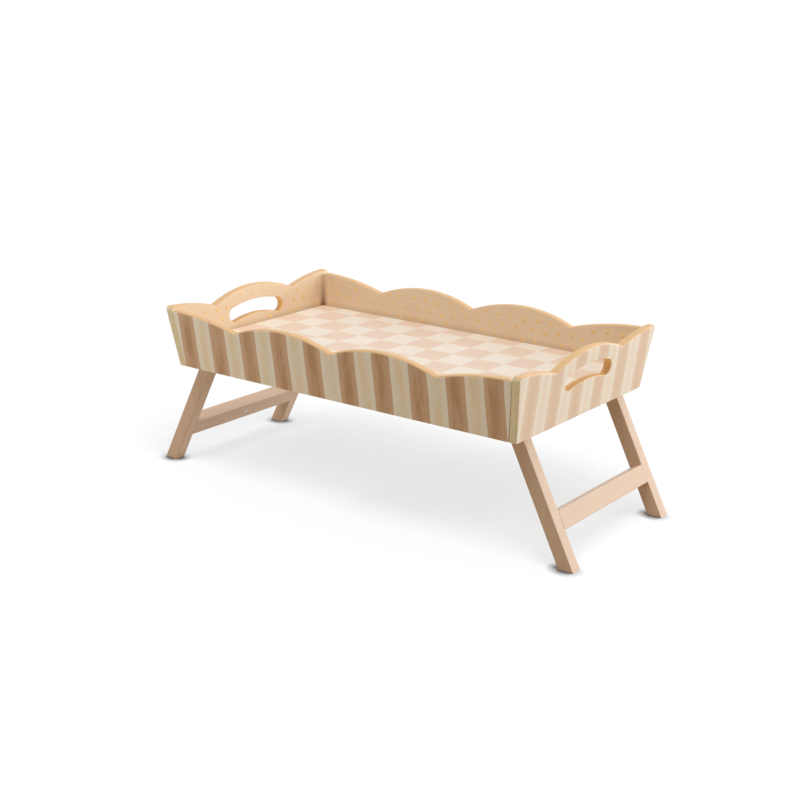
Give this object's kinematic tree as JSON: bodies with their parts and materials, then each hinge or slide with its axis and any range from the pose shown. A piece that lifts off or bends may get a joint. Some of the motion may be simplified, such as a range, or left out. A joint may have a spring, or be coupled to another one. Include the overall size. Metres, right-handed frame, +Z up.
{
  "type": "bed tray table",
  "caption": "Painted wooden bed tray with flared scalloped sides, hand slots in both ends and splayed leg frames that fold up under its floor.",
  "frame": {"origin": "on the surface the feet stand on, under the middle of the tray, with both leg frames open", "axes": "+X along the tray towards its right end, +Y across it towards its back, +Z up; the picture's viewer stands at the front right"},
  "size_m": [0.7304, 0.357, 0.2615],
  "materials": {
    "striped_paint_on_long_boards": "satin paint in upright stripes outside, dotted peach paint inside, thin gilt line along the top edge",
    "striped_paint_on_end_boards": "satin paint in upright stripes outside, dotted peach paint inside, thin gilt line along the top edge and in the handle slot",
    "checked_paint_on_floor": "satin paint in a soft two-tone check, bare underneath",
    "leg_wood": "pale wood, satin clear coat",
    "underside_wood": "planed pale wood, uncoated",
    "dowel_wood": "turned hardwood, uncoated",
    "fastener_steel": "zinc-plated",
    "zinc_inserts": "die-cast zinc",
    "nickel_plate": "nickel-plated magnet"
  },
  "bodies": {
    "tray": {"front_board": "striped_paint_on_long_boards", "back_board": "striped_paint_on_long_boards", "left_end_board": "striped_paint_on_end_boards", "right_end_board": "striped_paint_on_end_boards", "tray_floor": "checked_paint_on_floor", "corner_dowels": "dowel_wood", "left_stop_cleat": "underside_wood", "right_stop_cleat": "underside_wood", "left_front_pivot_block": "underside_wood", "left_back_pivot_block": "underside_wood", "right_front_pivot_block": "underside_wood", "right_back_pivot_block": "underside_wood", "stop_cleat_screws": "fastener_steel", "pivot_block_screws": "fastener_steel", "pivot_bolts": "fastener_steel", "pivot_spacer_washers": "fastener_steel", "pivot_head_washers": "fastener_steel", "pivot_inserts": "zinc_inserts", "catch_plates": "fastener_steel"},
    "left_leg_frame": {"left_front_leg": "leg_wood", "left_back_leg": "leg_wood", "left_stretcher": "leg_wood", "left_stretcher_dowels": "dowel_wood", "left_catch_magnet": "nickel_plate"},
    "right_leg_frame": {"right_front_leg": "leg_wood", "right_back_leg": "leg_wood", "right_stretcher": "leg_wood", "right_stretcher_dowels": "dowel_wood", "right_catch_magnet": "nickel_plate"}
  },
  "joints": [
    {"name": "left_leg_fold", "type": "hinge", "parent": "tray", "child": "left_leg_frame", "pos_m": [-0.26166, 0, 0.1845], "axis": [0, -1, 0], "range_deg": [0, 116.6]},
    {"name": "right_leg_fold", "type": "hinge", "parent": "tray", "child": "right_leg_frame", "pos_m": [0.26166, 0, 0.1845], "axis": [0, 1, 0], "range_deg": [0, 116.6]}
  ]
}
